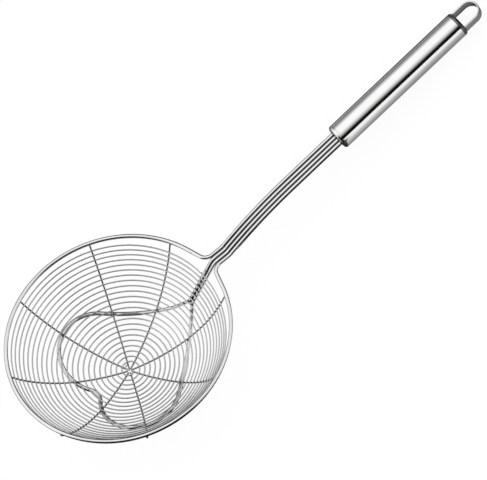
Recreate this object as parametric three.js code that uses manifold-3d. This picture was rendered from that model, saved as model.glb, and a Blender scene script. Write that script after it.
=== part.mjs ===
// Wire strainer skimmer: a spiral wire bowl on eight ribs, held by a rim wire and a support wire.
// The four ends of those two wires run side by side, as a flat shank, into a tubular handle with a
// hanging loop. Everything is stainless steel and welded, so nothing moves.
// Millimetres, +Z up, handle along +X, lying as it does on a table: on the bowl and the handle's end.

import * as THREE from 'three';
import { mergeVertices } from 'three/addons/utils/BufferGeometryUtils.js';
import Module from 'manifold-3d';

// Wires
const FRAME_WIRE = 3.0; // rim and support wire diameter
const RIB_WIRE = 1.2;
const SPIRAL_WIRE = 1.0;

// Bowl, measured from the middle of the rim wire
const RIM_RADIUS = 78.6; // of its far side
const RIM_EASE = 4.2; // added to the radius on the handle's side, where the rim is drawn out to the neck
const RIM_EASE_ANGLE = 110; // degrees from the handle at which that side begins
const BOWL_DEPTH = 49.7; // down to the middle of the spiral wire
const TOP_TURN_DROP = 4.2; // from the rim down to the spiral's last turn
const SPIRAL_TURNS = 23;
const CURL_RADIUS = 4.3; // where the spiral ends and the S in the middle begins
const RIB_ANGLES = [23.5, 66.2, 113.3, 156.7, 202.7, 247.6, 297.2, 340.3]; // degrees from the handle, as welded
const RIB_START_RADIUS = 2.4;
const RIB_SETBACK = 1.6; // how far a rib's end stops short of where it would pass the rim
const LAST_RIB = 5; // the rib that the spiral's outer end is welded to

// Neck, where the rim's ends turn outward
const RIM_TANGENT_ANGLE = 16; // degrees from the handle at which the rim ends and the neck bend begins
const RIM_NECK_BEND = 7; // bend radii are to the middle of the wire
const SUPPORT_NECK_BEND = 8;
const SUPPORT_TANGENT_ANGLE = 46; // degrees from the bowl's middle at which the support wire meets the bowl

// Support loop under the bowl, seen from above
const LOOP_PARTING = 2.5; // along X, from where it meets the bowl to where its two legs part
const LOOP_DIVERGE_BEND = 6;
const LOOP_SETTLE = 14; // along X, from lying on the spiral to lying under the ribs
const LOBE_X = -7.4;
const LOBE_Y = 22.9;
const LOBE_RADIUS = 28.7;
const NOTCH_BEND = 10.4; // the inward turn opposite the handle

// Shank, seen from the side
const SHANK_BEND_X = 97.4;
const SHANK_BEND = 12;
const SHANK_RISE = 23.8; // degrees above the rim's plane, past the first bend
const SHANK_RISE_LENGTH = 7.2;
const SHANK_SWEEP = 233; // radius of the long curve back toward the handle's line
const SHANK_STRAIGHT = 47; // last straight run, up to the handle's face
const HANDLE_RISE = 10.4; // degrees
const SHANK_INSERT = 40; // length of wire inside the handle

// Handle
const HANDLE_DIAMETER = 19;
const HANDLE_WALL = 0.8;
const HANDLE_LENGTH = 117; // with both end caps
const CAP_LENGTH = 3;
const CAP_EDGE = 2.2; // rounding of the caps' outer edge
const CAP_SPIGOT = 4;

// Hanging loop, a bent flat strap
const LOOP_INSET = 1.9; // from the tube's outside to the strap's outside
const LOOP_REACH = 19.2; // from the rear cap to the outside of its crown
const STRAP_WIDTH = 7.4;
const STRAP_THICKNESS = 1.2;
const STRAP_INSERT = 14;

// Clearances
const WELD_GAP = 0.2; // between wires that lie on each other
const SHANK_GAP = 0.12; // between the wires side by side in the shank
const FIT_GAP = 0.3; // round what passes through or plugs into another piece

// Facets
const WIRE_SIDES = 10;
const THIN_WIRE_SIDES = 6;
const STEPS_PER_TURN = 24;
const BEND_STEP = 12; // degrees of bend in one step of a frame wire
const RUN_STEP = 7; // longest step of a frame wire on the bowl
const RIB_STEPS = 16;
const ROUND_SEGMENTS = 40;
const CROWN_FACETS = 9;

const rad = THREE.MathUtils.degToRad;
const wasm = await Module();
wasm.setup();

// The bowl is part of a ball. The ribs wrap the spiral and lie against the outside of the rim, which
// sets the ball's radius: (ball - k)^2 = rim^2 + (ball - depth)^2, with k from rim to spiral.
const rimToSpiral = (FRAME_WIRE - SPIRAL_WIRE) / 2;
const spiralBall = (RIM_RADIUS ** 2 + BOWL_DEPTH ** 2 - rimToSpiral ** 2) / (2 * (BOWL_DEPTH - rimToSpiral));
const ballZ = spiralBall - BOWL_DEPTH;
const ribBall = spiralBall + (SPIRAL_WIRE + RIB_WIRE) / 2 + WELD_GAP;
const neckBall = spiralBall + (SPIRAL_WIRE + FRAME_WIRE) / 2 + WELD_GAP;
const loopBall = ribBall + (RIB_WIRE + FRAME_WIRE) / 2 + WELD_GAP;
const ribAngles = RIB_ANGLES.map(rad);

// The rim's far side is a circle, and its handle side, up to the neck, two arcs of a larger radius.
const easeAngle = rad(RIM_EASE_ANGLE);
const easeRadius = RIM_RADIUS + RIM_EASE;
const easeCentre = new THREE.Vector2(Math.cos(easeAngle), Math.sin(easeAngle)).multiplyScalar(-RIM_EASE);

// The four shank wires lie side by side, the support wire's two ends between the rim wire's two.
const shankPitch = FRAME_WIRE + SHANK_GAP;
const supportY = shankPitch / 2;
const rimY = supportY + shankPitch;

const steel = (color, roughness) => new THREE.MeshStandardMaterial({ color, roughness, metalness: 1 });

// A curve that steps from one given point to the next, whatever their spacing.
class WirePath extends THREE.Curve {
  constructor(points) {
    super();
    this.points = points;
  }

  getPoint(t, target = new THREE.Vector3()) {
    const place = t * (this.points.length - 1);
    const index = Math.min(Math.floor(place), this.points.length - 2);
    return target.lerpVectors(this.points[index], this.points[index + 1], place - index);
  }

  getPointAt(u, target) {
    return this.getPoint(u, target);
  }

  getTangentAt(u, target = new THREE.Vector3()) {
    const index = Math.round(u * (this.points.length - 1));
    const before = this.points[Math.max(index - 1, 0)];
    const after = this.points[Math.min(index + 1, this.points.length - 1)];
    return target.subVectors(after, before).normalize();
  }
}

function roundSection(diameter, sides) {
  const points = [];
  for (let i = 0; i < sides; i += 1) {
    const angle = ((i + 0.5) * 2 * Math.PI) / sides;
    points.push(new THREE.Vector2(Math.cos(angle), Math.sin(angle)).multiplyScalar(diameter / 2));
  }
  return new THREE.Shape(points);
}

function wire(name, points, diameter, sides, material) {
  const geometry = new THREE.ExtrudeGeometry(roundSection(diameter, sides), {
    steps: points.length - 1,
    extrudePath: new WirePath(points),
    bevelEnabled: false,
  });
  return named(name, geometry, material);
}

function named(name, geometry, material) {
  const mesh = new THREE.Mesh(geometry, material);
  mesh.name = name;
  return mesh;
}

// Points of a flat path: bends in steps of equal angle, straight runs in steps of at most `run`.
function pathPoints(path, run) {
  const points = [path.curves[0].getPoint(0)];
  for (const curve of path.curves) {
    const turn = curve.isEllipseCurve ? Math.abs(curve.aEndAngle - curve.aStartAngle) : 0;
    const steps = Math.ceil(Math.max(turn / rad(BEND_STEP), curve.getLength() / run));
    points.push(...curve.getSpacedPoints(steps).slice(1));
  }
  return points;
}

const onBall = (ball, arc, angle) => new THREE.Vector3(
  ball * Math.sin(arc / ball) * Math.cos(angle),
  ball * Math.sin(arc / ball) * Math.sin(angle),
  ballZ - ball * Math.cos(arc / ball),
);

// Shank from the neck to its end in the handle, as points of the XZ plane.
function shankProfile(neckX) {
  const rise = rad(SHANK_RISE);
  const end = rad(HANDLE_RISE);
  const along = (from, angle, length) => new THREE.Vector2(
    from.x + length * Math.cos(angle),
    from.y + length * Math.sin(angle),
  );
  const bendTop = new THREE.Vector2(
    SHANK_BEND_X + SHANK_BEND * Math.sin(rise),
    SHANK_BEND * (1 - Math.cos(rise)),
  );
  const riseTop = along(bendTop, rise, SHANK_RISE_LENGTH);
  const sweepCentre = along(riseTop, rise - Math.PI / 2, SHANK_SWEEP);
  const sweepEnd = along(sweepCentre, end + Math.PI / 2, SHANK_SWEEP);
  const face = along(sweepEnd, end, SHANK_STRAIGHT);
  const last = along(face, end, SHANK_INSERT);
  const path = new THREE.Path()
    .moveTo(neckX, 0)
    .lineTo(SHANK_BEND_X, 0)
    .absarc(SHANK_BEND_X, SHANK_BEND, SHANK_BEND, -Math.PI / 2, rise - Math.PI / 2)
    .lineTo(riseTop.x, riseTop.y)
    .absarc(sweepCentre.x, sweepCentre.y, SHANK_SWEEP, rise + Math.PI / 2, end + Math.PI / 2, true)
    .lineTo(last.x, last.y);
  return { points: pathPoints(path, 3 * RUN_STEP), face };
}

const shankWire = (profile, y) => profile.map((point) => new THREE.Vector3(point.x, y, point.y));

// Both frame wires are symmetric: one half from the handle to the far side, and its mirror image.
function mirroredWire(half) {
  const mirror = half.slice(0, -1).reverse();
  return [...half, ...mirror.map((point) => new THREE.Vector3(point.x, -point.y, point.z))];
}

// The rim's drawn-out arc ends at the neck, where a reverse bend turns each end to the handle.
function rimWire() {
  const tangent = rad(RIM_TANGENT_ANGLE);
  const outward = new THREE.Vector2(Math.cos(tangent), Math.sin(tangent));
  const bendY = rimY + RIM_NECK_BEND;
  const bendX = (easeCentre.dot(outward) + easeRadius + RIM_NECK_BEND - bendY * outward.y) / outward.x;
  const path = new THREE.Path()
    .moveTo(bendX, rimY)
    .absarc(bendX, bendY, RIM_NECK_BEND, -Math.PI / 2, tangent - Math.PI, true)
    .absarc(easeCentre.x, easeCentre.y, easeRadius, tangent, easeAngle)
    .absarc(0, 0, RIM_RADIUS, easeAngle, Math.PI);
  const plan = pathPoints(path, RUN_STEP).map((point) => new THREE.Vector3(point.x, point.y, 0));
  const shank = shankWire(shankProfile(bendX).points, rimY).reverse();
  const half = [...shank, ...plan.slice(1)];
  return wire('rim_wire', mirroredWire(half), FRAME_WIRE, WIRE_SIDES, steel(0xd2d4d7, 0.22));
}

// The support wire bends down at the neck, runs straight to the bowl, and parts into a loop of two lobes.
function supportWire() {
  const tangent = rad(SUPPORT_TANGENT_ANGLE);
  const sectionBall = Math.sqrt(neckBall ** 2 - supportY ** 2);
  const landingX = sectionBall * Math.sin(tangent);
  const landingZ = ballZ - sectionBall * Math.cos(tangent);
  const bendX = landingX - landingZ / Math.tan(tangent) + SUPPORT_NECK_BEND * Math.tan(tangent / 2);
  const bend = new THREE.Path()
    .moveTo(bendX, 0)
    .absarc(bendX, -SUPPORT_NECK_BEND, SUPPORT_NECK_BEND, Math.PI / 2, Math.PI / 2 + tangent)
    .lineTo(landingX, landingZ);
  const bendPoints = pathPoints(bend, RUN_STEP);
  const partX = landingX - LOOP_PARTING;

  // The leg between the parting bend and the lobe is a tangent that crosses between their centres.
  const partY = supportY + LOOP_DIVERGE_BEND;
  const toLobe = new THREE.Vector2(LOBE_X - partX, LOBE_Y - partY);
  const leg = toLobe.angle() - Math.asin((LOOP_DIVERGE_BEND + LOBE_RADIUS) / toLobe.length());
  const notchReach = LOBE_RADIUS + NOTCH_BEND;
  const notchX = LOBE_X - Math.sqrt(notchReach ** 2 - LOBE_Y ** 2);
  const notchTurn = Math.asin(LOBE_Y / notchReach);
  const path = new THREE.Path()
    .moveTo(landingX, supportY)
    .lineTo(partX, supportY)
    .absarc(partX, partY, LOOP_DIVERGE_BEND, -Math.PI / 2, leg - (3 * Math.PI) / 2, true)
    .absarc(LOBE_X, LOBE_Y, LOBE_RADIUS, leg - Math.PI / 2, Math.PI + notchTurn)
    .absarc(notchX, 0, NOTCH_BEND, notchTurn, 0, true);

  // It lies on the spiral until its legs part, and from the first ribs on it lies under the ribs.
  const onBowl = ({ x, y }) => {
    const share = THREE.MathUtils.clamp((partX - x) / LOOP_SETTLE, 0, 1);
    const ball = THREE.MathUtils.lerp(neckBall, loopBall, share);
    return new THREE.Vector3(x, y, ballZ - Math.sqrt(ball ** 2 - x ** 2 - y ** 2));
  };
  const shank = shankWire(shankProfile(bendX).points, supportY).reverse();
  const neck = bendPoints.slice(1).map((point) => new THREE.Vector3(point.x, supportY, point.y));
  const loop = pathPoints(path, RUN_STEP).slice(1).map(onBowl);
  const half = [...shank, ...neck, ...loop];
  return wire('support_wire', mirroredWire(half), FRAME_WIRE, WIRE_SIDES, steel(0xc4c6c9, 0.25));
}

// From the bowl's middle to the rim, in a direction given by its angle from the handle.
function rimReach(angle) {
  const away = Math.abs(Math.atan2(Math.sin(angle), Math.cos(angle)));
  if (away >= easeAngle) return RIM_RADIUS;
  const along = easeCentre.dot(new THREE.Vector2(Math.cos(away), Math.sin(away)));
  return along + Math.sqrt(along ** 2 - RIM_EASE ** 2 + easeRadius ** 2);
}

// The ribs run down the outside of the spiral, from the rim to the S in the middle. Where the rim is
// drawn out they would run into it, so they end against it.
function ribs() {
  const start = ribBall * Math.asin(RIB_START_RADIUS / ribBall);
  const clear = (FRAME_WIRE + RIB_WIRE) / 2 + WELD_GAP;
  return ribAngles.map((angle, index) => {
    const reach = rimReach(angle);
    const passing = ribBall - Math.hypot(reach, ballZ);
    const setback = Math.max(RIB_SETBACK, Math.sqrt(Math.max(clear ** 2 - passing ** 2, 0)));
    const end = ribBall * Math.atan2(reach, ballZ) - setback;
    const points = [];
    for (let step = 0; step <= RIB_STEPS; step += 1) {
      points.push(onBall(ribBall, THREE.MathUtils.lerp(start, end, step / RIB_STEPS), angle));
    }
    return wire(`rib_${index + 1}`, points, RIB_WIRE, THIN_WIRE_SIDES, steel(0xb9bbbf, 0.3));
  });
}

// One wire winds from the S in the middle to the last turn under the rim, where it ends on a rib.
function spiralPoints() {
  const topArc = spiralBall * Math.acos((ballZ + TOP_TURN_DROP) / spiralBall);
  const steps = SPIRAL_TURNS * STEPS_PER_TURN;
  const startAngle = ribAngles[LAST_RIB] + SPIRAL_TURNS * 2 * Math.PI;
  const points = [];
  const inner = onBall(spiralBall, CURL_RADIUS, startAngle);
  const curlSteps = STEPS_PER_TURN / 2;
  for (let step = 0; step < 2 * curlSteps; step += 1) {
    const side = step < curlSteps ? -1 : 1;
    const angle = startAngle + side * Math.PI * (1 - (step % curlSteps) / curlSteps);
    const x = (side * inner.x) / 2 + (CURL_RADIUS / 2) * Math.cos(angle);
    const y = (side * inner.y) / 2 + (CURL_RADIUS / 2) * Math.sin(angle);
    points.push(onBall(spiralBall, Math.hypot(x, y), Math.atan2(y, x)));
  }
  for (let step = 0; step <= steps; step += 1) {
    const arc = THREE.MathUtils.lerp(CURL_RADIUS, topArc, step / steps);
    points.push(onBall(spiralBall, arc, startAngle - (step / STEPS_PER_TURN) * 2 * Math.PI));
  }
  return points;
}

// Least gap between stretches of one wire that lie further apart along it than a few diameters.
function leastGap(points, diameter) {
  const lengths = [0];
  for (let i = 1; i < points.length; i += 1) {
    lengths.push(lengths[i - 1] + points[i].distanceTo(points[i - 1]));
  }
  let least = Infinity;
  for (let i = 0; i < points.length; i += 1) {
    for (let j = i + 1; j < points.length; j += 1) {
      if (lengths[j] - lengths[i] > 3 * diameter) {
        least = Math.min(least, points[i].distanceTo(points[j]) - diameter);
      }
    }
  }
  return least;
}

function spiralWire() {
  const points = spiralPoints();
  console.log(`spiral wire's least gap to itself: ${leastGap(points, SPIRAL_WIRE).toFixed(2)} mm`);
  return wire('spiral_wire', points, SPIRAL_WIRE, THIN_WIRE_SIDES, steel(0xc2c4c8, 0.28));
}

function solidOf(geometry) {
  geometry.deleteAttribute('normal');
  geometry.deleteAttribute('uv');
  const merged = mergeVertices(geometry, 1e-4);
  return new wasm.Manifold(new wasm.Mesh({
    numProp: 3,
    vertProperties: new Float32Array(merged.attributes.position.array),
    triVerts: new Uint32Array(merged.index.array),
  }));
}

function geometryOf(solid) {
  const mesh = solid.getMesh();
  const geometry = new THREE.BufferGeometry();
  geometry.setAttribute('position', new THREE.BufferAttribute(mesh.vertProperties, 3));
  geometry.setIndex(new THREE.BufferAttribute(mesh.triVerts, 1));
  return geometry;
}

// In the handle's own frame +X runs from its front end to its rear end and +Z is square to the shank.
const tubeLength = HANDLE_LENGTH - 2 * CAP_LENGTH;
const tubeRadius = HANDLE_DIAMETER / 2;
const boreRadius = tubeRadius - HANDLE_WALL;
const loopRadius = tubeRadius - LOOP_INSET;

function turned(profile) {
  return new THREE.LatheGeometry(profile, ROUND_SEGMENTS).rotateZ(-Math.PI / 2);
}

function handleTube() {
  const profile = new THREE.Path()
    .moveTo(boreRadius, 0)
    .lineTo(tubeRadius, 0)
    .lineTo(tubeRadius, tubeLength)
    .lineTo(boreRadius, tubeLength)
    .lineTo(boreRadius, 0);
  return named('handle_tube', turned(profile.getPoints()), steel(0xd9dadd, 0.18));
}

// A cap with a rounded edge and a spigot in the bore, its face at -CAP_LENGTH, cut by the given slots.
function endCap(spigotRadius, slots) {
  const edgeRadius = tubeRadius - CAP_EDGE;
  const profile = new THREE.Path()
    .moveTo(0, -CAP_LENGTH)
    .lineTo(edgeRadius, -CAP_LENGTH)
    .absarc(edgeRadius, CAP_EDGE - CAP_LENGTH, CAP_EDGE, -Math.PI / 2, 0)
    .lineTo(tubeRadius, -WELD_GAP)
    .lineTo(spigotRadius, -WELD_GAP)
    .lineTo(spigotRadius, CAP_SPIGOT)
    .lineTo(0, CAP_SPIGOT);
  let cap = solidOf(turned(profile.getPoints(3)));
  for (const slot of slots) {
    const depth = 2 * (CAP_LENGTH + CAP_SPIGOT);
    const cutter = new THREE.ExtrudeGeometry(slot, { depth, bevelEnabled: false, curveSegments: 6 });
    cap = cap.subtract(solidOf(cutter.translate(0, 0, -depth / 2).rotateY(Math.PI / 2)));
  }
  return geometryOf(cap);
}

// The front cap has one slot with round ends for the row of four wires.
function frontCap() {
  const end = FRAME_WIRE / 2 + FIT_GAP;
  const slot = new THREE.Shape()
    .absarc(0, rimY, end, 0, Math.PI)
    .absarc(0, -rimY, end, Math.PI, 2 * Math.PI);
  return named('front_cap', endCap(boreRadius - FIT_GAP, [slot]), steel(0xd9dadd, 0.18));
}

function rectangle(width, height, y) {
  return new THREE.Shape()
    .moveTo(-width / 2, y - height / 2)
    .lineTo(width / 2, y - height / 2)
    .lineTo(width / 2, y + height / 2)
    .lineTo(-width / 2, y + height / 2);
}

// The rear cap has a slot for each leg of the hanging loop, and its spigot sits between the legs.
function rearCap() {
  const legY = loopRadius - STRAP_THICKNESS / 2;
  const spigotRadius = loopRadius - STRAP_THICKNESS - FIT_GAP;
  const slots = [legY, -legY].map((y) => (
    rectangle(STRAP_WIDTH + 2 * FIT_GAP, STRAP_THICKNESS + 2 * FIT_GAP, y)
  ));
  const geometry = endCap(spigotRadius, slots).rotateZ(Math.PI).translate(tubeLength, 0, 0);
  return named('rear_cap', geometry, steel(0xd9dadd, 0.18));
}

// The strap's crown is a half round, with a facet square to the handle in its middle.
function hangLoop() {
  const inner = loopRadius - STRAP_THICKNESS;
  const crownX = tubeLength + CAP_LENGTH + LOOP_REACH - loopRadius;
  const footX = tubeLength + CAP_LENGTH - STRAP_INSERT;
  const crown = (radius) => Array.from({ length: CROWN_FACETS + 1 }, (_, i) => {
    const angle = Math.PI * (i / CROWN_FACETS - 0.5);
    return new THREE.Vector2(crownX + radius * Math.cos(angle), radius * Math.sin(angle));
  });
  const outline = new THREE.Shape([
    new THREE.Vector2(footX, -loopRadius),
    ...crown(loopRadius),
    new THREE.Vector2(footX, loopRadius),
    new THREE.Vector2(footX, inner),
    ...crown(inner).reverse(),
    new THREE.Vector2(footX, -inner),
  ]);
  const geometry = new THREE.ExtrudeGeometry(outline, { depth: STRAP_WIDTH, bevelEnabled: false });
  return named('hang_loop', geometry.translate(0, 0, -STRAP_WIDTH / 2), steel(0xc9cbce, 0.24));
}

function handle() {
  const { face } = shankProfile(RIM_RADIUS);
  const group = new THREE.Group();
  group.add(handleTube(), frontCap(), rearCap(), hangLoop());
  group.rotation.y = -rad(HANDLE_RISE);
  group.position.set(face.x, 0, face.y);
  group.translateX(CAP_LENGTH);
  return group;
}

// Lower hull of the side view, as points with x rising.
function lowerHull(group) {
  const corners = [];
  group.updateMatrixWorld(true);
  group.traverse((object) => {
    if (!object.isMesh) return;
    const position = object.geometry.attributes.position;
    for (let i = 0; i < position.count; i += 1) {
      const corner = new THREE.Vector3().fromBufferAttribute(position, i).applyMatrix4(object.matrixWorld);
      corners.push(new THREE.Vector2(corner.x, corner.z));
    }
  });
  corners.sort((a, b) => a.x - b.x || a.y - b.y);
  const hull = [];
  for (const corner of corners) {
    while (hull.length > 1) {
      const last = hull.at(-1).clone().sub(hull.at(-2));
      if (last.cross(corner.clone().sub(hull.at(-2))) > 0) break;
      hull.pop();
    }
    hull.push(corner);
  }
  return hull;
}

// It lies on the hull's edge that spans the neck, with the origin under the middle of its box.
function layDown(skimmer) {
  const hull = lowerHull(skimmer);
  const next = hull.findIndex((corner) => corner.x > RIM_RADIUS);
  skimmer.rotation.y = hull[next].clone().sub(hull[next - 1]).angle();
  const table = new THREE.Group();
  table.add(skimmer);
  table.updateMatrixWorld(true);
  const box = new THREE.Box3().setFromObject(table, true);
  skimmer.position.set(-(box.min.x + box.max.x) / 2, -(box.min.y + box.max.y) / 2, -box.min.z);
  return table;
}

const skimmer = new THREE.Group();
skimmer.add(rimWire(), supportWire(), spiralWire(), ...ribs(), handle());

export default layDown(skimmer);
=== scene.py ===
"""A wire strainer skimmer: bright drawn wire, spot welds, a polished tube handle and soft studio light.

The skimmer's sizes are millimetres from the middle of the rim, as in the CAD source, and LAY puts them
in the frame. Sizes of the finishes and of the studio are metres in the frame itself.
"""

import math

import bmesh
import bpy
from mathutils import Matrix, Vector


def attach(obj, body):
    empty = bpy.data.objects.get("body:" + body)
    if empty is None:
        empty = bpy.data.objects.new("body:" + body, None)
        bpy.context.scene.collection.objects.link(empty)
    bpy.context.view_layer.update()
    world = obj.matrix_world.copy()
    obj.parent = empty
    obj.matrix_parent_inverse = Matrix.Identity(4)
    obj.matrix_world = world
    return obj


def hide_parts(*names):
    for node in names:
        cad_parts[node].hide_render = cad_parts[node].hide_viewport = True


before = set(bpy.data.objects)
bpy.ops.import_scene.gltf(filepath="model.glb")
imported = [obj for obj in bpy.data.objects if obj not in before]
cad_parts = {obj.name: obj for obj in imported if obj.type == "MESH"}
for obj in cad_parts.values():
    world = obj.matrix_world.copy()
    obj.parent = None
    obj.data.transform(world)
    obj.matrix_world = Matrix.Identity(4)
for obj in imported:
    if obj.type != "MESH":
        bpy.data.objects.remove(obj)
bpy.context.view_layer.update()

MM = 0.001

# Wires. SHANK_PITCH is 3.12 in the CAD, whose solids may not touch.
FRAME_WIRE = 3.0
RIB_WIRE = 1.2
SPIRAL_WIRE = 1.0
WELD_GAP = 0.2
SHANK_PITCH = 2.98

# Bowl. RIB_START_RADIUS is 2.4 in the CAD, where the ribs' inner ends may not touch.
RIM_RADIUS = 78.6
RIM_EASE = 4.2
RIM_EASE_ANGLE = math.radians(110)
BOWL_DEPTH = 49.7
TOP_TURN_DROP = 4.2
SPIRAL_TURNS = 23
CURL_RADIUS = 4.3
RIB_ANGLES = [23.5, 66.2, 113.3, 156.7, 202.7, 247.6, 297.2, 340.3]
RIB_START_RADIUS = 1.6
RIB_SETBACK = 1.6
LAST_RIB = 5

# Neck, support loop and shank. LOOP_DIVERGE_BEND is 6 in the CAD, whose solids keep clear of each other.
RIM_TANGENT_ANGLE = math.radians(16)
RIM_NECK_BEND = 7
SUPPORT_TANGENT_ANGLE = math.radians(46)
SUPPORT_NECK_BEND = 8
LOOP_PARTING = 2.5
LOOP_DIVERGE_BEND = 3.5
LOOP_SETTLE = 14
LOBE_X = -7.4
LOBE_Y = 22.9
LOBE_RADIUS = 28.7
NOTCH_BEND = 10.4
SHANK_BEND_X = 97.4
SHANK_BEND = 12
SHANK_RISE = math.radians(23.8)
SHANK_RISE_LENGTH = 7.2
SHANK_SWEEP = 233
SHANK_STRAIGHT = 47
HANDLE_RISE = math.radians(10.4)
SHANK_INSERT = 40

# Handle and hanging loop. TUBE_LENGTH is 111 and LOOP_REACH 19.2 in the CAD: the photo puts the tube's
# end a little nearer the crown, which stays in its place.
TUBE_RADIUS = 9.5
TUBE_WALL = 0.8
TUBE_LENGTH = 112.4
TUBE_EDGE = 0.12
CAP_LENGTH = 3
CAP_EDGE = 2.2
CAP_SPIGOT = 4
FIT_GAP = 0.3
SEAM = 0.06
LOOP_RADIUS = 7.6
LOOP_REACH = 17.8
STRAP_WIDTH = 7.4
STRAP_THICKNESS = 1.2
STRAP_INSERT = 14
STRAP_EDGE = 0.3

# Weld beads: half the length, width and height of each kind
RIB_BEAD = (0.66, 0.6, 0.36)
RIM_BEAD = (0.9, 0.7, 0.7)
LOOP_BEAD = (0.9, 0.9, 0.4)
NECK_BEAD = (0.7, 0.6, 0.3)
RIM_BEAD_SHARE = 0.32

# How it lies on the table
TILT = math.radians(16.44200501)
RIM_PLACE = Vector((-132.71387688, 0, 52.89189523))
LAY = (
    Matrix.Translation(RIM_PLACE * MM)
    @ Matrix.Rotation(TILT, 4, "Y")
    @ Matrix.Scale(MM, 4)
)

# Fineness
BEND_STEP = math.radians(3)
BOWL_STEP = 2
TURN_STEPS = 96
SPIRAL_STEPS = 96
RIB_STEPS = 72
CROWN_STEPS = 48
EDGE_STEPS = 4
BEAD_SIDES = 8
BEAD_ROWS = 5
WIRE_ROUNDNESS = {FRAME_WIRE: 6, RIB_WIRE: 3, SPIRAL_WIRE: 3}
SHARP_ANGLE = math.radians(40)
SAME_PLACE_MM = 1e-4
SAME_PLACE = 1e-8

# The ball that the bowl is a part of, and the balls that the other wires lie on
RIM_TO_SPIRAL = (FRAME_WIRE - SPIRAL_WIRE) / 2
SPIRAL_BALL = (RIM_RADIUS**2 + BOWL_DEPTH**2 - RIM_TO_SPIRAL**2) / (2 * (BOWL_DEPTH - RIM_TO_SPIRAL))
BALL_Z = SPIRAL_BALL - BOWL_DEPTH
RIB_BALL = SPIRAL_BALL + (SPIRAL_WIRE + RIB_WIRE) / 2 + WELD_GAP
NECK_BALL = SPIRAL_BALL + (SPIRAL_WIRE + FRAME_WIRE) / 2 + WELD_GAP
LOOP_BALL = RIB_BALL + (RIB_WIRE + FRAME_WIRE) / 2 + WELD_GAP
TOP_ARC = SPIRAL_BALL * math.acos((BALL_Z + TOP_TURN_DROP) / SPIRAL_BALL)
SPIRAL_START = math.radians(RIB_ANGLES[LAST_RIB])
SUPPORT_Y = SHANK_PITCH / 2
RIM_Y = SUPPORT_Y + SHANK_PITCH
QUARTER = math.pi / 2
ROUND = 2 * math.pi

# Where the support wire lands on the bowl and where its legs part
SECTION_BALL = math.sqrt(NECK_BALL**2 - SUPPORT_Y**2)
LANDING_X = SECTION_BALL * math.sin(SUPPORT_TANGENT_ANGLE)
LANDING_Z = BALL_Z - SECTION_BALL * math.cos(SUPPORT_TANGENT_ANGLE)
PART_X = LANDING_X - LOOP_PARTING

# Finishes: painted shade in crevices, die lines and stains on the wire, polishing lines on the handle,
# browned welds
CREVICE_SHADE_REACH = 0.0012
CREVICE_SHADE_SAMPLES = 8
CREVICE_SHADE_STEP = (0.56, 0.98)
CREVICE_SHADE_GREY = 0.03
DARK_TINT = 0.012
BRIGHT_TINT = 0.004
RELIEF_DEPTH = 0.00002
DIE_LINE_LENGTH = 12
DIE_LINE_COUNT = 3
DIE_LINE_SCALE = 1.6
DIE_LINE_RELIEF = 0.25
STAIN_SCALE = 70.0
POLISH_STRETCH = 6
POLISH_RELIEF = 0.12
WHEEL_MARKS = (25, 60, 60)
WELD_BROWN = (0.24, 0.225, 0.21, 1)
WELD_GREY = (0.5, 0.49, 0.48, 1)
WELD_SCALE = 900.0

# Table and cards
TABLE_HALF = 0.42
TABLE_GREY = 0.75
TABLE_GLOW = 1.04
TABLE_GLOW_SHARE = 0.88
CARD_HEIGHT = 0.0006
HANDLE_REACH = (0.0735, 0.235)
FRONT_LEAN = (0.07, 0)
FRONT_RISE = (0.0036, 0.0031)
# Front card levels by y: the low ones near the handle are a painted shadow of the handle on the table, the
# far ones white.
FRONT_LEVELS = [
    (0.004, 0.16),
    (-0.012, 0.26),
    (-0.03, 0.46),
    (-0.06, 0.68),
    (-0.1, 0.82),
    (-0.15, 0.95),
    (-0.2, 1.05),
]
FRONT_CURL_STEPS = 6
FRONT_CURL_STEP = 0.02
# Back card levels by y: a painted shadow of the handle on the table behind it, darkest where they meet.
BACK_SHADOW_LEVELS = [(0.22, 0.45), (0.12, 0.26), (0.05, 0.1), (0.004, 0.05)]
END_X = 0.217
END_SIDES = (-0.03, 0.012)
END_HEIGHT = 0.05
END_LEVEL = 0.045
# Edge of the dark card on the table, as (x, y, level): a dark flag, and painted shade under the bowl; it
# grows lighter towards the back.
DARK_EDGE = [
    (0.0735, 0.3, 0.16),
    (0.0735, 0.03, 0.06),
    (-0.115, 0.025, 0.05),
    (-0.115, -0.084, 0.01),
    (0.0795, -0.088, 0.01),
    (0.1, -0.42, 0.01),
]
SIDE_LEFT = [(-0.032, 0.025, 0.03), (-0.032, -0.084, 0.03)]
SIDE_RIGHT = [(0.0735, 0.025, 0.03), (0.079, -0.084, 0.03)]

# What mirror rays see round the handle's line, as (degrees above the front, level of light)
ROOM_AHEAD = [
    (-180, 0.14),
    (-150, 0.18),
    (-125, 0.25),
    (-100, 0.02),
    (0, 0.004),
    (42, 0.004),
    (50, 0.26),
    (65, 0.76),
    (82, 1.14),
    (127, 1.14),
    (147.5, 0.52),
    (172, 0.18),
]
ROOM_LEFT = [
    (-180, 0.65),
    (-150, 0.42),
    (-125, 0.3),
    (-105, 0.02),
    (42, 0.004),
    (60, 0.08),
    (76, 0.5),
    (92, 1.05),
    (127, 1.14),
    (150, 0.9),
    (172, 0.75),
]
ROOM_RIGHT = [
    (-180, 0.02),
    (-100, 0.02),
    (-55, 0.05),
    (-20, 0.45),
    (20, 0.75),
    (60, 0.95),
    (118, 0.9),
    (140, 0.45),
    (158, 0.02),
]
ROOM_WARMTH = 0.985
LEFT_STEP = (0.04, 0.3)
RIGHT_STEP = (0.28, 0.6)

# Camera, fitted to the rim, the rings and the handle
CAMERA_PLACE = (0.21209837, -1.37302797, 2.70026822)
CAMERA_TURN = (16.6527483, 22.1243059, -41.8122465)
CAMERA_LENS = 317.726
CAMERA_SENSOR = 36
CAMERA_CLIP = (0.5, 20)


# Shapes


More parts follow.
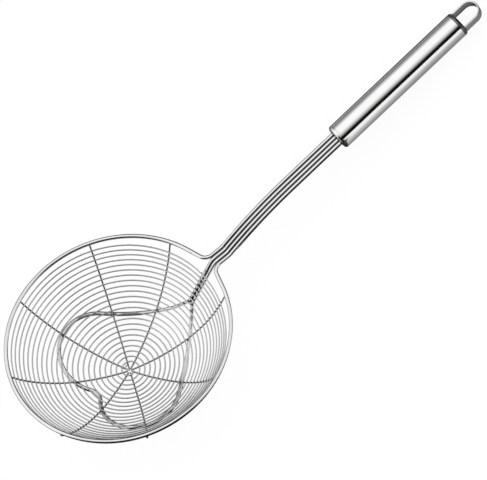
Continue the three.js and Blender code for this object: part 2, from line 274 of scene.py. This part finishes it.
def on_circle(radius, angle):
    return Vector((radius * math.cos(angle), radius * math.sin(angle)))


def bend(centre, radius, start, end):
    steps = max(2, math.ceil(abs(end - start) / BEND_STEP))
    return [centre + on_circle(radius, start + (end - start) * i / steps) for i in range(steps + 1)]


def fill_runs(points, longest):
    """The same flat route, with its straight runs cut into short steps."""
    filled = [points[0]]
    for before, after in zip(points, points[1:]):
        steps = max(1, math.ceil((after - before).length / longest))
        filled += [before.lerp(after, i / steps) for i in range(1, steps + 1)]
    return filled


def on_ball(ball, arc, angle):
    across = on_circle(ball * math.sin(arc / ball), angle)
    return Vector((across.x, across.y, BALL_Z - ball * math.cos(arc / ball)))


def shank_profile(neck_x):
    """Side view of the shank, from the neck to the wires' ends in the tube, and where the tube's face is."""
    bend_centre = Vector((SHANK_BEND_X, SHANK_BEND))
    bend_top = bend_centre + on_circle(SHANK_BEND, SHANK_RISE - QUARTER)
    rise_top = bend_top + on_circle(SHANK_RISE_LENGTH, SHANK_RISE)
    sweep_centre = rise_top + on_circle(SHANK_SWEEP, SHANK_RISE - QUARTER)
    sweep_end = sweep_centre + on_circle(SHANK_SWEEP, HANDLE_RISE + QUARTER)
    face = sweep_end + on_circle(SHANK_STRAIGHT, HANDLE_RISE)
    points = [Vector((neck_x, 0))]
    points += bend(bend_centre, SHANK_BEND, -QUARTER, SHANK_RISE - QUARTER)
    points += bend(sweep_centre, SHANK_SWEEP, SHANK_RISE + QUARTER, HANDLE_RISE + QUARTER)
    points.append(face + on_circle(SHANK_INSERT, HANDLE_RISE))
    return points, face


def shank_half(neck_x, y):
    points, _ = shank_profile(neck_x)
    return [Vector((point.x, y, point.y)) for point in reversed(points)]


def with_mirror_half(half):
    return half + [Vector((point.x, -point.y, point.z)) for point in reversed(half[:-1])]


def ease_centre():
    """Middle of the larger arc that draws one side of the rim out to the neck."""
    return on_circle(-RIM_EASE, RIM_EASE_ANGLE)


def rim_route():
    outward = on_circle(1, RIM_TANGENT_ANGLE)
    bend_y = RIM_Y + RIM_NECK_BEND
    reach = ease_centre().dot(outward) + RIM_RADIUS + RIM_EASE + RIM_NECK_BEND
    bend_x = (reach - bend_y * outward.y) / outward.x
    plan = bend(Vector((bend_x, bend_y)), RIM_NECK_BEND, -QUARTER, RIM_TANGENT_ANGLE - math.pi)
    plan += bend(ease_centre(), RIM_RADIUS + RIM_EASE, RIM_TANGENT_ANGLE, RIM_EASE_ANGLE)[1:]
    plan += bend(Vector((0, 0)), RIM_RADIUS, RIM_EASE_ANGLE, math.pi)[1:]
    half = shank_half(bend_x, RIM_Y) + [point.to_3d() for point in plan[1:]]
    return with_mirror_half(half)


def support_route():
    """Down from the neck to the bowl, then round the heart-shaped loop, easing down under the ribs."""
    level = LANDING_Z / math.tan(SUPPORT_TANGENT_ANGLE)
    bend_x = LANDING_X - level + SUPPORT_NECK_BEND * math.tan(SUPPORT_TANGENT_ANGLE / 2)
    neck_centre = Vector((bend_x, -SUPPORT_NECK_BEND))
    neck = bend(neck_centre, SUPPORT_NECK_BEND, QUARTER, QUARTER + SUPPORT_TANGENT_ANGLE)
    neck.append(Vector((LANDING_X, LANDING_Z)))
    part_centre = Vector((PART_X, SUPPORT_Y + LOOP_DIVERGE_BEND))
    lobe_centre = Vector((LOBE_X, LOBE_Y))
    to_lobe = lobe_centre - part_centre
    leg = math.atan2(to_lobe.y, to_lobe.x)
    leg -= math.asin((LOOP_DIVERGE_BEND + LOBE_RADIUS) / to_lobe.length)
    notch_reach = LOBE_RADIUS + NOTCH_BEND
    notch_turn = math.asin(LOBE_Y / notch_reach)
    notch_centre = Vector((LOBE_X - notch_reach * math.cos(notch_turn), 0))
    plan = [Vector((LANDING_X, SUPPORT_Y))]
    plan += bend(part_centre, LOOP_DIVERGE_BEND, -QUARTER, leg - 3 * QUARTER)
    plan += bend(lobe_centre, LOBE_RADIUS, leg - QUARTER, math.pi + notch_turn)
    plan += bend(notch_centre, NOTCH_BEND, notch_turn, 0)[1:]
    loop = []
    for point in fill_runs(plan, BOWL_STEP)[1:]:
        share = min(max((PART_X - point.x) / LOOP_SETTLE, 0), 1)
        share = share * share * (3 - 2 * share)
        ball = NECK_BALL + (LOOP_BALL - NECK_BALL) * share
        loop.append(Vector((point.x, point.y, BALL_Z - math.sqrt(ball**2 - point.length_squared))))
    half = shank_half(bend_x, SUPPORT_Y)
    half += [Vector((point.x, SUPPORT_Y, point.y)) for point in neck[1:]] + loop
    return with_mirror_half(half)


def rim_reach(angle):
    """From the middle of the bowl to the rim, in a direction given by its angle from the handle."""
    away = abs(math.atan2(math.sin(angle), math.cos(angle)))
    if away >= RIM_EASE_ANGLE:
        return RIM_RADIUS
    along = ease_centre().dot(on_circle(1, away))
    return along + math.sqrt(along**2 - RIM_EASE**2 + (RIM_RADIUS + RIM_EASE) ** 2)


def rib_end(angle):
    """How far along the ball a rib runs, up to the rim that it is welded to."""
    reach = rim_reach(angle)
    clear = (FRAME_WIRE + RIB_WIRE) / 2 + WELD_GAP
    passing = RIB_BALL - math.hypot(reach, BALL_Z)
    setback = max(RIB_SETBACK, math.sqrt(max(clear**2 - passing**2, 0)))
    return RIB_BALL * math.atan2(reach, BALL_Z) - setback


def rib_route(angle):
    start = RIB_BALL * math.asin(RIB_START_RADIUS / RIB_BALL)
    end = rib_end(angle)
    arcs = [start + (end - start) * i / RIB_STEPS for i in range(RIB_STEPS + 1)]
    return [on_ball(RIB_BALL, arc, angle) for arc in arcs]


def spiral_arc(turn):
    return CURL_RADIUS + (TOP_ARC - CURL_RADIUS) * turn / SPIRAL_TURNS


def spiral_route():
    """An S of two half rounds in the middle, then the turns, each further out on the ball."""
    route = []
    curl_steps = SPIRAL_STEPS // 2
    for side in (-1, 1):
        centre = on_circle(side * CURL_RADIUS / 2, SPIRAL_START)
        for i in range(curl_steps):
            flat = centre + on_circle(CURL_RADIUS / 2, SPIRAL_START + side * math.pi * (1 - i / curl_steps))
            route.append(on_ball(SPIRAL_BALL, flat.length, math.atan2(flat.y, flat.x)))
    for i in range(SPIRAL_TURNS * SPIRAL_STEPS + 1):
        turn = i / SPIRAL_STEPS
        route.append(on_ball(SPIRAL_BALL, spiral_arc(turn), SPIRAL_START - turn * ROUND))
    return route


def put(name, data):
    """A new object in the scene, at the origin."""
    made = bpy.data.objects.new(name, data)
    bpy.context.scene.collection.objects.link(made)
    return made


def mesh_of(name, bm):
    mesh = bpy.data.meshes.new(name)
    bm.to_mesh(mesh)
    bm.free()
    return mesh


def drawn_wire(name, route, diameter):
    """A wire with cut ends along a route; its UV map runs along it and round it."""
    curve = bpy.data.curves.new(name, "CURVE")
    curve.dimensions = "3D"
    curve.bevel_depth = diameter / 2 * MM
    curve.bevel_resolution = WIRE_ROUNDNESS[diameter]
    curve.use_fill_caps = True
    spline = curve.splines.new("POLY")
    spline.points.add(len(route) - 1)
    for corner, point in zip(spline.points, route):
        corner.co = (LAY @ point).to_4d()
    holder = put(name, curve)
    bpy.context.view_layer.update()
    mesh = bpy.data.meshes.new_from_object(holder.evaluated_get(bpy.context.evaluated_depsgraph_get()))
    bpy.data.objects.remove(holder)
    bm = bmesh.new()
    bm.from_mesh(mesh)
    bpy.data.meshes.remove(mesh)
    return bm


def bead(bm, place, outward, along, size):
    """One small lens of weld metal."""
    across = outward.cross(along)
    axes = Matrix((along * size[0], across * size[1], outward * size[2])).transposed().to_4x4()
    axes.translation = place
    bmesh.ops.create_uvsphere(bm, u_segments=BEAD_SIDES, v_segments=BEAD_ROWS, radius=1, matrix=LAY @ axes)


def ball_directions(point):
    """Outward from the ball's middle, and round the bowl, at a point of the bowl."""
    outward = (point - Vector((0, 0, BALL_Z))).normalized()
    along = Vector((0, 0, 1)).cross(outward).normalized()
    return outward, along


def bowl_bead(bm, point, lift, size):
    """A bead at a point of the bowl, moved outward by lift."""
    outward, along = ball_directions(point)
    bead(bm, point + outward * lift, outward, along, size)


def crossings(angle):
    """Where the turns pass a direction, given by its angle from the handle."""
    first = ((SPIRAL_START - angle) / ROUND) % 1
    return [on_ball(SPIRAL_BALL, spiral_arc(first + turn), angle) for turn in range(SPIRAL_TURNS)]


def weld_beads():
    """Beads where turns cross ribs, where ribs meet the rim and the loop, and where turns meet the neck."""
    bm = bmesh.new()
    loop = [point for point in support_route() if point.x < PART_X and point.z < 0]
    under_turn = (SPIRAL_WIRE + WELD_GAP) / 2
    over_loop = -(FRAME_WIRE + WELD_GAP) / 2
    for degrees in RIB_ANGLES:
        angle = math.radians(degrees)
        for point in crossings(angle):
            bowl_bead(bm, point, under_turn, RIB_BEAD)
        end = on_ball(RIB_BALL, rib_end(angle), angle)
        rim = on_circle(rim_reach(angle), angle).to_3d()
        _, along = ball_directions(end)
        bead(bm, end.lerp(rim, RIM_BEAD_SHARE), (end - rim).normalized(), along, RIM_BEAD)
        aim = on_circle(1, angle)
        for before, after in zip(loop, loop[1:]):
            sides = [aim.x * point.y - aim.y * point.x for point in (before, after)]
            if sides[0] * sides[1] <= 0 and aim.dot(before.to_2d()) > 0:
                bowl_bead(bm, before, over_loop, LOOP_BEAD)
    for y in (SUPPORT_Y, -SUPPORT_Y):
        for point in crossings(y / RIM_RADIUS):
            if point.x > PART_X:
                bowl_bead(bm, point, under_turn, NECK_BEAD)
    return bm


_, shank_face = shank_profile(RIM_RADIUS)
HANDLE = (
    LAY
    @ Matrix.Translation((shank_face.x, 0, shank_face.y))
    @ Matrix.Rotation(-HANDLE_RISE, 4, "Y")
    @ Matrix.Translation((CAP_LENGTH, 0, 0))
)


def only(kind, items):
    return [item for item in items if isinstance(item, kind)]


def turned(profile, closed):
    """A profile of (along, out) points, turned round the handle's line."""
    bm = bmesh.new()
    corners = [bm.verts.new((along, 0, out)) for along, out in profile]
    edges = [bm.edges.new(pair) for pair in zip(corners, corners[1:])]
    if closed:
        edges.append(bm.edges.new((corners[-1], corners[0])))
    bmesh.ops.spin(
        bm,
        geom=corners + edges,
        cent=(0, 0, 0),
        axis=(1, 0, 0),
        angle=ROUND,
        steps=TURN_STEPS,
        use_merge=True,
    )
    bmesh.ops.remove_doubles(bm, verts=bm.verts, dist=SAME_PLACE_MM)
    bmesh.ops.recalc_face_normals(bm, faces=bm.faces)
    return bm


def handle_tube():
    bore = TUBE_RADIUS - TUBE_WALL
    profile = [
        (0, bore),
        (0, TUBE_RADIUS - TUBE_EDGE),
        (TUBE_EDGE, TUBE_RADIUS),
        (TUBE_LENGTH - TUBE_EDGE, TUBE_RADIUS),
        (TUBE_LENGTH, TUBE_RADIUS - TUBE_EDGE),
        (TUBE_LENGTH, bore),
    ]
    bm = turned(profile, closed=True)
    bm.transform(HANDLE)
    return bm


def slot_cutter(width, height, y, round_ends):
    """A bar along the handle's line, to cut a slot in a cap."""
    bm = bmesh.new()
    depth = 2 * (CAP_LENGTH + CAP_SPIGOT)
    if round_ends:
        side = (width - height) / 2
        outline = bend(Vector((side, 0)), height / 2, -QUARTER, QUARTER)
        outline += bend(Vector((-side, 0)), height / 2, QUARTER, 3 * QUARTER)
    else:
        corners = ((1, -1), (1, 1), (-1, 1), (-1, -1))
        outline = [Vector((a * width / 2, b * height / 2)) for a, b in corners]
    face = bm.faces.new([bm.verts.new((-depth / 2, y + point.x, point.y)) for point in outline])
    grown = bmesh.ops.extrude_face_region(bm, geom=[face])["geom"]
    bmesh.ops.translate(bm, verts=only(bmesh.types.BMVert, grown), vec=(depth, 0, 0))
    bmesh.ops.recalc_face_normals(bm, faces=bm.faces)
    return bm


def end_cap(name, spigot_radius, cutters, place):
    """A cap with a rounded edge and a spigot, its slots cut through."""
    edge_radius = TUBE_RADIUS - CAP_EDGE
    edge = bend(Vector((CAP_EDGE - CAP_LENGTH, edge_radius)), CAP_EDGE, math.pi, QUARTER)
    profile = [(-CAP_LENGTH, 0)] + [tuple(point) for point in edge]
    profile += [(-SEAM, TUBE_RADIUS), (-SEAM, spigot_radius), (CAP_SPIGOT, spigot_radius), (CAP_SPIGOT, 0)]
    cap = put(name, mesh_of(name, turned(profile, closed=False)))
    tools = []
    for cutter in cutters:
        tool = put(name + "_cutter", mesh_of(name + "_cutter", cutter))
        cut = cap.modifiers.new("slot", "BOOLEAN")
        cut.operation = "DIFFERENCE"
        cut.solver = "EXACT"
        cut.object = tool
        tools.append(tool)
    bpy.context.view_layer.update()
    bm = bmesh.new()
    bm.from_object(cap, bpy.context.evaluated_depsgraph_get())
    for spent in [cap] + tools:
        bpy.data.objects.remove(spent)
    bm.transform(place)
    return bm


def front_cap():
    slot = slot_cutter(2 * RIM_Y + FRAME_WIRE + 2 * FIT_GAP, FRAME_WIRE + 2 * FIT_GAP, 0, True)
    return end_cap("front_end", TUBE_RADIUS - TUBE_WALL - FIT_GAP, [slot], HANDLE)


def rear_cap():
    leg_y = LOOP_RADIUS - STRAP_THICKNESS / 2
    width = STRAP_THICKNESS + 2 * FIT_GAP
    height = STRAP_WIDTH + 2 * FIT_GAP
    slots = [slot_cutter(width, height, y, False) for y in (leg_y, -leg_y)]
    turn_round = Matrix.Translation((TUBE_LENGTH, 0, 0)) @ Matrix.Rotation(math.pi, 4, "Z")
    return end_cap("rear_end", LOOP_RADIUS - STRAP_THICKNESS - FIT_GAP, slots, HANDLE @ turn_round)


def hanging_strap():
    """A flat strap with eased edges: one leg, a half round crown, and the other leg."""
    bm = bmesh.new()
    foot = TUBE_LENGTH + CAP_LENGTH - STRAP_INSERT
    crown = TUBE_LENGTH + CAP_LENGTH + LOOP_REACH - LOOP_RADIUS
    sides = (LOOP_RADIUS - STRAP_THICKNESS, LOOP_RADIUS)
    half = STRAP_WIDTH / 2
    corners = [(sides[0], -half), (sides[1], -half), (sides[1], half), (sides[0], half)]
    bm.faces.new([bm.verts.new((foot, -y, z)) for y, z in corners])
    bmesh.ops.bevel(
        bm,
        geom=bm.verts[:],
        offset=STRAP_EDGE,
        affect="VERTICES",
        segments=EDGE_STEPS,
        profile=0.5,
        material=-1,
    )
    bmesh.ops.delete(bm, geom=bm.faces[:], context="FACES_ONLY")
    section = bm.edges[:]
    for length, angle in ((crown - foot, 0), (0, math.pi), (foot - crown, 0)):
        if angle:
            ends = bmesh.ops.spin(
                bm,
                geom=section + list({vert for edge in section for vert in edge.verts}),
                cent=(crown, 0, 0),
                axis=(0, 0, 1),
                angle=angle,
                steps=CROWN_STEPS,
            )["geom_last"]
        else:
            ends = bmesh.ops.extrude_edge_only(bm, edges=section)["geom"]
            bmesh.ops.translate(bm, verts=only(bmesh.types.BMVert, ends), vec=(length, 0, 0))
        section = only(bmesh.types.BMEdge, ends)
    bmesh.ops.holes_fill(bm, edges=bm.edges[:])
    bmesh.ops.recalc_face_normals(bm, faces=bm.faces)
    bm.transform(HANDLE)
    return bm


# Finishes


class Shade:
    """A number on its way through the shader: arithmetic on it adds Math nodes."""

    def __init__(self, finish, socket):
        self.finish = finish
        self.socket = socket

    def math(self, operation, *numbers):
        return self.finish.node("ShaderNodeMath", {"operation": operation}, dict(enumerate(numbers)))

    def __add__(self, other):
        return self.math("ADD", self, other)

    def __radd__(self, other):
        return self.math("ADD", other, self)

    def __rsub__(self, other):
        return self.math("SUBTRACT", other, self)

    def __mul__(self, other):
        return self.math("MULTIPLY", self, other)

    def __rmul__(self, other):
        return self.math("MULTIPLY", other, self)

    def __truediv__(self, other):
        return self.math("DIVIDE", self, other)


class Finish:
    """A node tree, of a material or of the world, and the one method that adds nodes to it."""

    def __init__(self, owner):
        owner.use_nodes = True
        self.tree = owner.node_tree
        self.tree.nodes.clear()

    def node(self, kind, settings=None, sockets=None, output=0):
        made = self.tree.nodes.new(kind)
        for name, value in (settings or {}).items():
            if name == "stops":
                ramp = made.color_ramp.elements
                while len(ramp) < len(value):
                    ramp.new(1)
                for stop, (position, colour) in zip(ramp, value):
                    stop.position = position
                    stop.color = (*colour, 1)
            else:
                setattr(made, name, value)
        for name, value in (sockets or {}).items():
            if isinstance(value, Shade):
                self.tree.links.new(value.socket, made.inputs[name])
            else:
                made.inputs[name].default_value = value
        return Shade(self, made.outputs[output])

    def output(self, kind, surface):
        end = self.tree.nodes.new(kind)
        self.tree.links.new(surface.socket, end.inputs["Surface"])


def new_material(name):
    material = bpy.data.materials.new(name)
    return material, Finish(material)


def grey(value, tint=0.0):
    """A steel grey, a little cool where tint is above zero."""
    return (value, value, value + tint, 1)


def coordinates(finish, kind):
    return finish.node("ShaderNodeTexCoord", None, None, kind)


def part(finish, vector, axis):
    """One number of a vector."""
    return finish.node("ShaderNodeSeparateXYZ", None, {0: vector}, axis)


def noise(finish, place, scale, detail):
    return finish.node("ShaderNodeTexNoise", None, {"Vector": place, "Scale": scale, "Detail": detail}, "Fac")


def soft_step(finish, value, low, high):
    """From 0 at low to 1 at high, with soft ends."""
    settings = {"interpolation_type": "SMOOTHSTEP"}
    return finish.node("ShaderNodeMapRange", settings, {0: value, 1: low, 2: high})


def mix(finish, factor, first, second):
    """A colour between two. Sockets 6 and 7 and output 2 are the colour ones of a Mix node."""
    sockets = {"Factor": factor, 6: first, 7: second}
    return finish.node("ShaderNodeMix", {"data_type": "RGBA"}, sockets, 2)


def steel(finish, greys, spread, roughness, polish, bump):
    """Bare steel: colour between two greys by spread, with painted shade near black where other metal lies
    close, roughness and fine relief by the polish marks.
    """
    dark, bright = greys
    smooth, rough = roughness
    colour = mix(finish, spread, grey(dark, DARK_TINT), grey(bright, BRIGHT_TINT))
    # Painted shade: where ambient occlusion finds other metal within reach, as between the shank's wires, the
    # base colour goes to near black.
    shade_openness = finish.node(
        "ShaderNodeAmbientOcclusion", {"samples": CREVICE_SHADE_SAMPLES}, {"Distance": CREVICE_SHADE_REACH}, "AO"
    )
    colour = mix(finish, soft_step(finish, shade_openness, *CREVICE_SHADE_STEP), grey(CREVICE_SHADE_GREY), colour)
    relief = {"Strength": bump, "Distance": RELIEF_DEPTH, "Height": polish}
    metal = {
        "Base Color": colour,
        "Metallic": 1.0,
        "Roughness": smooth + (rough - smooth) * polish,
        "Normal": finish.node("ShaderNodeBump", None, relief),
    }
    finish.output("ShaderNodeOutputMaterial", finish.node("ShaderNodeBsdfPrincipled", None, metal))


def wire_steel(name, length, greys, roughness):
    """Drawn wire: faint die lines along it, and soft stains where it has been handled."""
    material, finish = new_material(name)
    uv = coordinates(finish, "UV")
    along = part(finish, uv, 0) * (length / DIE_LINE_LENGTH)
    turn = part(finish, uv, 1) * ROUND
    across = [turn.math(operation, turn) * DIE_LINE_COUNT for operation in ("COSINE", "SINE")]
    lines = finish.node("ShaderNodeCombineXYZ", None, dict(enumerate([along] + across)))
    polish = noise(finish, lines, DIE_LINE_SCALE, 3.0)
    stains = noise(finish, coordinates(finish, "Object"), STAIN_SCALE, 2.0)
    steel(finish, greys, stains, roughness, polish, DIE_LINE_RELIEF)
    return material


def handle_steel(name, fineness, greys, roughness):
    """Polished sheet: fine lines along the handle, and a slow unevenness left by the polishing wheel."""
    material, finish = new_material(name)
    place = coordinates(finish, "Object")
    turn = (0, HANDLE_RISE - TILT, 0)
    lines, wheel = [
        finish.node("ShaderNodeMapping", None, {"Vector": place, "Rotation": turn, "Scale": scale})
        for scale in ((POLISH_STRETCH, fineness, fineness), WHEEL_MARKS)
    ]
    polish = noise(finish, lines, 1.0, 4.0)
    spread = noise(finish, wheel, 1.0, 2.0)
    steel(finish, greys, spread, roughness, polish, POLISH_RELIEF)
    return material


def weld_steel():
    """Spot welds: duller, a little browned by the heat."""
    material, finish = new_material("spot_weld")
    scale = noise(finish, coordinates(finish, "Object"), WELD_SCALE, 2.0)
    metal = {
        "Base Color": mix(finish, scale, WELD_BROWN, WELD_GREY),
        "Metallic": 1.0,
        "Roughness": 0.3 + 0.2 * scale,
    }
    finish.output("ShaderNodeOutputMaterial", finish.node("ShaderNodeBsdfPrincipled", None, metal))
    return material


def add_piece(name, bm, node, material):
    bmesh.ops.remove_doubles(bm, verts=bm.verts, dist=SAME_PLACE)
    mesh = mesh_of(name, bm)
    mesh.shade_smooth()
    mesh.set_sharp_from_angle(angle=SHARP_ANGLE)
    mesh.materials.append(material)
    piece = put(name, mesh)
    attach(piece, "root")
    if node:
        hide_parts(node)


# By name: the wire's length or the lines' fineness, two greys, and the least and most roughness
frame_steel = wire_steel("bright_frame_wire", 1000, (0.76, 0.84), (0.05, 0.1))
# The spiral and the ribs are the frame wire's steel painted darker, the ribs most: painted shade on the
# bowl's inner wires.
shaded_spiral_steel = wire_steel("shaded_spiral_wire_steel", 5600, (0.52, 0.64), (0.08, 0.16))
shaded_rib_steel = wire_steel("rib_wire_steel", 100, (0.28, 0.38), (0.16, 0.28))
tube_steel = handle_steel("polished_tube", 900, (0.8, 0.87), (0.05, 0.1))
# The rear cap is the tube's steel painted near black: painted shade on the rounded end that faces away from
# the light.
shaded_rear_steel = handle_steel("shaded_rear_cap", 500, (0.13, 0.2), (0.16, 0.3))
strap_steel = handle_steel("polished_strap", 500, (0.68, 0.78), (0.16, 0.3))

wires = [
    ("rim_round_wire", rim_route(), FRAME_WIRE, "rim_wire", "frame_wire", frame_steel),
    ("support_round_wire", support_route(), FRAME_WIRE, "support_wire", "frame_wire", frame_steel),
    ("spiral_round_wire", spiral_route(), SPIRAL_WIRE, "spiral_wire", "bowl_wire", shaded_spiral_steel),
]
for number, degrees in enumerate(RIB_ANGLES, 1):
    route = rib_route(math.radians(degrees))
    name = "rib_round_wire_%d" % number
    wires.append((name, route, RIB_WIRE, "rib_%d" % number, "bowl_wire", shaded_rib_steel))
for name, route, diameter, node, slot, material in wires:
    add_piece(name, drawn_wire(name, route, diameter), node, material)
add_piece("weld_beads", weld_beads(), None, weld_steel())
add_piece("polished_handle", handle_tube(), "handle_tube", tube_steel)
add_piece("rounded_front_cap", front_cap(), "front_cap", tube_steel)
add_piece("rounded_rear_cap", rear_cap(), "rear_cap", shaded_rear_steel)
add_piece("bent_strap", hanging_strap(), "hang_loop", strap_steel)


# Studio


def table_top():
    """A plain pale table. The camera and the metal see it nearly white, with the skimmer's faint shadow."""
    bm = bmesh.new()
    bmesh.ops.create_grid(bm, x_segments=1, y_segments=1, size=TABLE_HALF)
    mesh = mesh_of("table_top", bm)
    material, finish = new_material("pale_table")
    rays = ("Is Camera Ray", "Is Glossy Ray", "Is Transmission Ray")
    seen, *others = [finish.node("ShaderNodeLightPath", None, None, ray) for ray in rays]
    for other in others:
        seen = seen.math("MAXIMUM", seen, other)
    plain = finish.node("ShaderNodeBsdfDiffuse", None, {"Color": grey(TABLE_GREY)})
    white = finish.node("ShaderNodeEmission", None, {"Color": grey(1.0), "Strength": TABLE_GLOW})
    surface = finish.node("ShaderNodeMixShader", None, {0: TABLE_GLOW_SHARE * seen, 1: plain, 2: white})
    finish.output("ShaderNodeOutputMaterial", surface)
    mesh.materials.append(material)
    put("table_top", mesh)


def mirror_card(name, *sides):
    """A bent card that only mirror rays see, between two rows of (x, y, z, level of light)."""
    bm = bmesh.new()
    lit = bm.verts.layers.float.new("level")
    rows = []
    for side in sides:
        rows.append([bm.verts.new(point[:3]) for point in side])
        for vert, point in zip(rows[-1], side):
            vert[lit] = point[3]
    for i in range(len(sides[0]) - 1):
        bm.faces.new((rows[0][i], rows[0][i + 1], rows[1][i + 1], rows[1][i]))
    mesh = mesh_of(name, bm)
    material, finish = new_material(name)
    level = finish.node("ShaderNodeAttribute", {"attribute_name": "level"}, None, "Color")
    finish.output("ShaderNodeOutputMaterial", finish.node("ShaderNodeEmission", None, {"Color": level}))
    mesh.materials.append(material)
    card = put(name, mesh)
    card.visible_camera = False
    card.visible_diffuse = False
    card.visible_shadow = False


def front_side(x, lean, rise):
    """One side of the card in front of the handle: a painted shadow of the handle near it, white further off,
    curling up there.
    """
    far_y, far_level = FRONT_LEVELS[-1]
    places = [(y, CARD_HEIGHT, level) for y, level in FRONT_LEVELS]
    for i in range(1, FRONT_CURL_STEPS + 1):
        places.append((far_y - FRONT_CURL_STEP * i, CARD_HEIGHT + rise * i * i, far_level))
    return [(x - lean * y, y, z, level) for y, z, level in places]


def table_card(name, left, right):
    """A dark card flat on the table, between two edges of (x, y, level)."""
    edges = [[(x, y, CARD_HEIGHT, level) for x, y, level in edge] for edge in (left, right)]
    mirror_card(name, *edges)


def studio_cards():
    """A light card before the handle with a painted shadow of it near the handle, a dark one past its end,
    and dark ones on the table elsewhere: a painted shadow behind the handle, painted shade under the bowl,
    and dark flags.
    """
    fronts = [front_side(*side) for side in zip(HANDLE_REACH, FRONT_LEAN, FRONT_RISE)]
    mirror_card("front_card", *fronts)
    ends = [[(END_X, y, z, END_LEVEL) for z in (0, END_HEIGHT)] for y in END_SIDES]
    mirror_card("end_card", *ends)
    table_card("dark_card", [(-TABLE_HALF, y, level) for _, y, level in DARK_EDGE], DARK_EDGE)
    backs = [[(x, y, level) for y, level in BACK_SHADOW_LEVELS] for x in HANDLE_REACH]
    table_card("back_shadow_card", *backs)
    table_card("side_card", SIDE_LEFT, SIDE_RIGHT)


def panels(finish, over, levels):
    """Light and dark round the handle's line."""
    stops = [(0.5 + degrees / 360, (level, level, level * ROOM_WARMTH)) for degrees, level in levels]
    return finish.node("ShaderNodeValToRGB", {"stops": stops}, {0: over})


def studio_light():
    """Plain white light; mirror rays see a wide soft light overhead in a dark room, greyer on the right."""
    world = bpy.data.worlds.new("studio")
    bpy.context.scene.world = world
    finish = Finish(world)
    aim = coordinates(finish, "Generated")
    x, y, z = [part(finish, aim, axis) for axis in range(3)]
    over = z.math("ARCTAN2", z, 0 - y) / ROUND + 0.5
    ahead, left, right = [panels(finish, over, levels) for levels in (ROOM_AHEAD, ROOM_LEFT, ROOM_RIGHT)]
    room = mix(finish, soft_step(finish, 0 - x, *LEFT_STEP), ahead, left)
    room = mix(finish, soft_step(finish, x, *RIGHT_STEP), room, right)
    mirrored = finish.node("ShaderNodeLightPath", None, None, "Is Glossy Ray")
    colour = mix(finish, mirrored, grey(1.0), room)
    light = finish.node("ShaderNodeBackground", None, {"Color": colour, "Strength": 1.0})
    finish.output("ShaderNodeOutputWorld", light)


def camera():
    lens = bpy.data.cameras.new("camera")
    lens.lens = CAMERA_LENS
    lens.sensor_width = CAMERA_SENSOR
    lens.clip_start, lens.clip_end = CAMERA_CLIP
    view = put("camera", lens)
    view.location = CAMERA_PLACE
    view.rotation_euler = [math.radians(angle) for angle in CAMERA_TURN]
    bpy.context.scene.camera = view


table_top()
studio_cards()
studio_light()
camera()
bpy.context.scene.view_settings.view_transform = "Standard"
